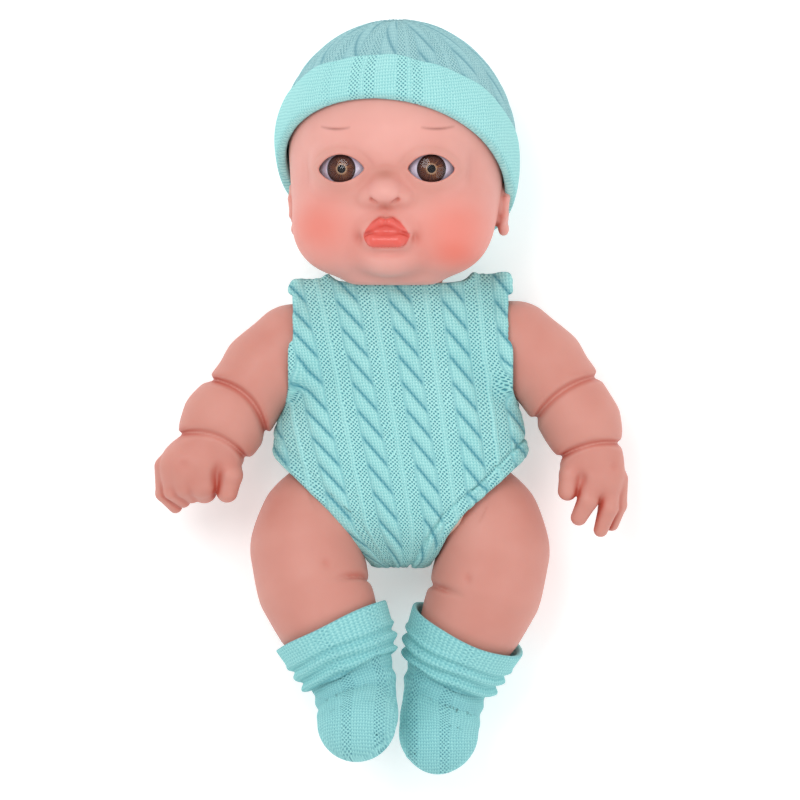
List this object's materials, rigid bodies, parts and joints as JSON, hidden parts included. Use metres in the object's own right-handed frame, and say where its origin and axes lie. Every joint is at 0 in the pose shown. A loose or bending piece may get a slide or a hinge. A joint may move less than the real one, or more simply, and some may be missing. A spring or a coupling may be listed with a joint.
{
  "type": "interactive baby doll",
  "caption": "Vinyl baby doll in a knitted romper, hat and socks, lying on its back, with turning head, arms and legs and a press-to-sound unit inside.",
  "frame": {"origin": "centre of the doll's outline, on the surface that it lies on", "axes": "+Z from the back to the belly and face, +Y from the feet to the head, +X to the doll's left"},
  "size_m": [0.1893, 0.3014, 0.0943],
  "materials": {
    "vinyl_skin": "soft-touch vinyl, satin, cheeks and lips tinted",
    "torso_plastic": "injection-moulded, fine matte texture",
    "spool_plastic": "plain moulded",
    "eye_white": "glossy, faintly lavender",
    "iris_print": "printed brown iris under the lens",
    "pupil_black": "black",
    "eye_lens": "clear acrylic, polished",
    "knit_mint": "mint blue cable and lace knit",
    "knit_mint_hat": "mint blue plain knit",
    "knit_mint_sock": "mint blue jersey",
    "fastener_tape": "hook and loop tape",
    "steel": "zinc plated",
    "spring_steel": "nickel plated wire",
    "box_plastic": "black moulding",
    "door_plastic": "moulded, matte",
    "cell_jacket": "shrink jacket, no print",
    "board": "green solder mask",
    "chip": "black epoxy",
    "component": "small parts",
    "magnet": "plated",
    "paper_cone": "pressed black paper",
    "copper": "enamelled copper",
    "button_plastic": "moulded red",
    "switch_plastic": "black moulding",
    "wire_jacket": "soft insulation"
  },
  "bodies": {
    "torso": {"torso_front": "torso_plastic", "torso_back": "torso_plastic", "torso_screws": "steel", "battery_door_screw": "steel", "board_screws": "steel", "battery_box": "box_plastic", "battery_cells": "cell_jacket", "battery_springs": "spring_steel", "battery_contacts": "spring_steel", "button_spring": "spring_steel", "battery_door": "door_plastic", "speaker_frame": "steel", "speaker_magnet": "magnet", "speaker_cone": "paper_cone", "speaker_voice_coil": "copper", "circuit_board": "board", "sound_chip": "chip", "board_components": "component", "tact_switch": "switch_plastic", "switch_housing": "switch_plastic", "battery_leads": "wire_jacket", "speaker_leads": "wire_jacket", "switch_leads": "wire_jacket", "romper": "knit_mint", "romper_back_fastener": "fastener_tape"},
    "head": {"head_shell": "vinyl_skin", "neck_spool": "spool_plastic", "hat_crown": "knit_mint_hat", "hat_band": "knit_mint_hat", "left_eye_lens": "eye_lens", "left_eye_white": "eye_white", "left_iris": "iris_print", "left_pupil": "pupil_black", "left_eye_retainer": "spool_plastic", "right_eye_lens": "eye_lens", "right_eye_white": "eye_white", "right_iris": "iris_print", "right_pupil": "pupil_black", "right_eye_retainer": "spool_plastic"},
    "arm_right": {"right_arm": "vinyl_skin", "right_shoulder_spool": "spool_plastic"},
    "arm_left": {"left_arm": "vinyl_skin", "left_shoulder_spool": "spool_plastic"},
    "leg_right": {"right_leg": "vinyl_skin", "right_hip_spool": "spool_plastic", "right_sock_foot": "knit_mint_sock", "right_sock_cuff": "knit_mint_sock"},
    "leg_left": {"left_leg": "vinyl_skin", "left_hip_spool": "spool_plastic", "left_sock_foot": "knit_mint_sock", "left_sock_cuff": "knit_mint_sock"},
    "button": {"sound_button": "button_plastic"},
    "slider": {"switch_slider": "switch_plastic"}
  },
  "joints": [
    {"name": "neck_turn", "type": "hinge", "parent": "torso", "child": "head", "pos_m": [0.00365, 0.046, 0.0345], "axis": [0, 1, 0], "range_deg": [-48, 61]},
    {"name": "right_shoulder", "type": "hinge", "parent": "torso", "child": "arm_right", "pos_m": [-0.02985, 0.021, 0.031], "axis": [-0.9781, -0.2079, 0], "range_deg": [-45, 165]},
    {"name": "left_shoulder", "type": "hinge", "parent": "torso", "child": "arm_left", "pos_m": [0.03715, 0.021, 0.031], "axis": [-0.9781, 0.2079, 0], "range_deg": [-45, 165]},
    {"name": "right_hip", "type": "hinge", "parent": "torso", "child": "leg_right", "pos_m": [-0.02435, -0.041, 0.03], "axis": [-0.9063, -0.4226, 0], "range_deg": [-36, 70]},
    {"name": "left_hip", "type": "hinge", "parent": "torso", "child": "leg_left", "pos_m": [0.03165, -0.041, 0.03], "axis": [-0.9063, 0.4226, 0], "range_deg": [-20, 86]},
    {"name": "sound_button_press", "type": "slide", "parent": "torso", "child": "button", "axis": [0, 0, -1], "range_m": [0, 0.0015], "stiffness_N_per_m": 600, "springref_m": -0.001, "deforming": ["button_spring"]},
    {"name": "power_switch_slide", "type": "slide", "parent": "torso", "child": "slider", "axis": [1, 0, 0], "range_m": [0, 0.003]}
  ]
}
